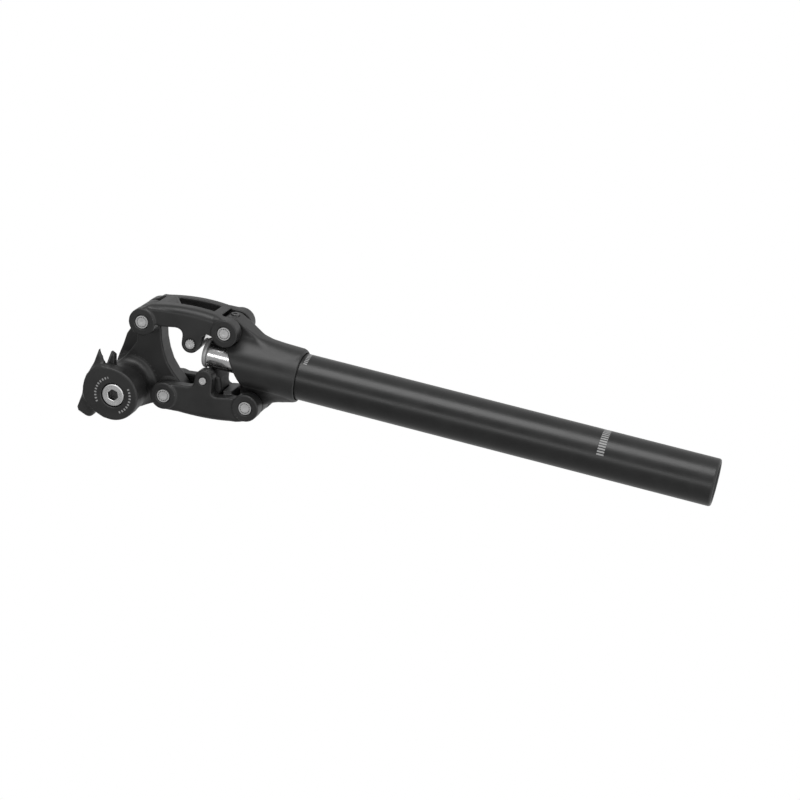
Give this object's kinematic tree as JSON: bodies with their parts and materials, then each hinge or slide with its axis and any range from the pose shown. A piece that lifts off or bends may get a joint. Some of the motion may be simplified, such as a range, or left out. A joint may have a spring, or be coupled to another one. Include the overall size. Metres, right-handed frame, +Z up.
{
  "type": "suspension seatpost",
  "caption": "Parallelogram suspension seatpost: a tube with a sprung piston, two links and a tilting saddle rail clamp.",
  "frame": {"origin": "on the post tube's axis, in the plane of its lower end, which is the end the frame's seat tube takes", "axes": "+Z up along the post tube towards the saddle, +X forward along the bicycle, +Y to the rider's left; Y = 0 is the middle plane"},
  "size_m": [0.0756, 0.06, 0.3672],
  "materials": {
    "tube_black": "satin black anodised tube",
    "forged_black": "matte black coated forging, fine grain",
    "clamp_black": "matte black, machined faces",
    "plug_black": "black anodised turned aluminium",
    "polished_steel": "ground and polished steel",
    "cap_steel": "turned, bead blasted steel",
    "pin_steel": "ground pin ends with a turned ring",
    "bolt_silver": "turned face, radial sheen",
    "zinc_steel": "zinc plated",
    "spring_steel": "shot peened wire",
    "bumper_rubber": "moulded black rubber",
    "seal_rubber": "moulded lip seal",
    "bush_polymer": "filled bearing polymer",
    "elastomer": "microcellular elastomer"
  },
  "bodies": {
    "post": {"post_tube": "tube_black", "yoke": "forged_black", "guide_bush": "bush_polymer", "wiper_seal": "seal_rubber", "axle_grub_screw": "zinc_steel", "main_spring": "spring_steel", "front_lower_axle": "pin_steel", "rear_lower_axle": "pin_steel"},
    "preload_seat": {"spring_bottom_seat": "bush_polymer", "elastomer_core": "elastomer"},
    "preload_plug": {"preload_plug": "plug_black"},
    "piston": {"piston": "polished_steel", "piston_cap": "cap_steel", "spring_top_seat": "bush_polymer"},
    "front_link": {"front_link": "forged_black", "front_lower_bush_left": "bush_polymer", "front_lower_bush_right": "bush_polymer", "front_upper_bush_left": "bush_polymer", "front_upper_bush_right": "bush_polymer", "roller_pin": "pin_steel"},
    "roller": {"roller": "polished_steel", "roller_bush": "bush_polymer"},
    "rear_link": {"rear_link": "forged_black", "rear_lower_bush_left": "bush_polymer", "rear_lower_bush_right": "bush_polymer", "rear_upper_bush_left": "bush_polymer", "rear_upper_bush_right": "bush_polymer", "bumper": "bumper_rubber", "bumper_pin": "pin_steel"},
    "head": {"head": "forged_black", "front_upper_axle": "pin_steel", "rear_upper_axle": "pin_steel"},
    "cradle": {"right_inner_cradle": "forged_black", "left_inner_cradle": "forged_black"},
    "right_clamp": {"right_outer_clamp": "clamp_black", "bolt_washer": "zinc_steel"},
    "left_clamp": {"left_outer_clamp": "clamp_black", "clamp_nut": "bolt_silver"},
    "clamp_bolt": {"clamp_bolt": "bolt_silver"}
  },
  "joints": [
    {"name": "suspension", "type": "hinge", "parent": "post", "child": "front_link", "pos_m": [0.0188, 0, 0.2886], "axis": [0, -1, 0], "range_deg": [0, 45], "stiffness_Nm_per_rad": 20, "springref_deg": -14.32},
    {"name": "rear_link_swing", "type": "hinge", "parent": "post", "child": "rear_link", "pos_m": [-0.0219, 0, 0.2696], "axis": [0, -1, 0], "range_deg": [0, 45]},
    {"name": "head_level", "type": "hinge", "parent": "front_link", "child": "head", "pos_m": [0.01355, 0, 0.33845], "axis": [0, -1, 0], "range_deg": [-45, 0]},
    {"name": "piston_slide", "type": "slide", "parent": "post", "child": "piston", "axis": [0, 0, -1], "range_m": [0, 0.01394], "deforming": ["main_spring"]},
    {"name": "roller_spin", "type": "hinge", "parent": "front_link", "child": "roller", "pos_m": [0.0074, 0, 0.308], "axis": [0, 1, 0], "continuous": true},
    {"name": "cradle_tilt", "type": "hinge", "parent": "head", "child": "cradle", "pos_m": [-0.0293, 0, 0.345], "axis": [0, 1, 0], "range_deg": [-15, 15]},
    {"name": "bolt_turn", "type": "hinge", "parent": "right_clamp", "child": "clamp_bolt", "pos_m": [-0.0293, 0, 0.345], "axis": [0, -1, 0], "range_deg": [0, 2160]},
    {"name": "right_clamp_open", "type": "slide", "parent": "cradle", "child": "right_clamp", "axis": [0, -1, 0], "range_m": [0, 0.00375]},
    {"name": "left_clamp_open", "type": "slide", "parent": "cradle", "child": "left_clamp", "axis": [0, 1, 0], "range_m": [0, 0.00375]},
    {"name": "preload_turn", "type": "hinge", "parent": "preload_seat", "child": "preload_plug", "pos_m": [0, 0, 0.015], "axis": [0, 0, 1], "range_deg": [0, 1800]},
    {"name": "preload_advance", "type": "slide", "parent": "post", "child": "preload_seat", "axis": [0, 0, 1], "range_m": [0, 0.0075], "deforming": ["main_spring"]}
  ],
  "couplings": [
    {"joint": "rear_link_swing", "follows": "suspension", "ratio": 1},
    {"joint": "head_level", "follows": "suspension", "ratio": -1},
    {"joint": "piston_slide", "follows": "suspension", "m_per_rad": 0.017498},
    {"joint": "left_clamp_open", "follows": "right_clamp_open", "ratio": 1}
  ]
}
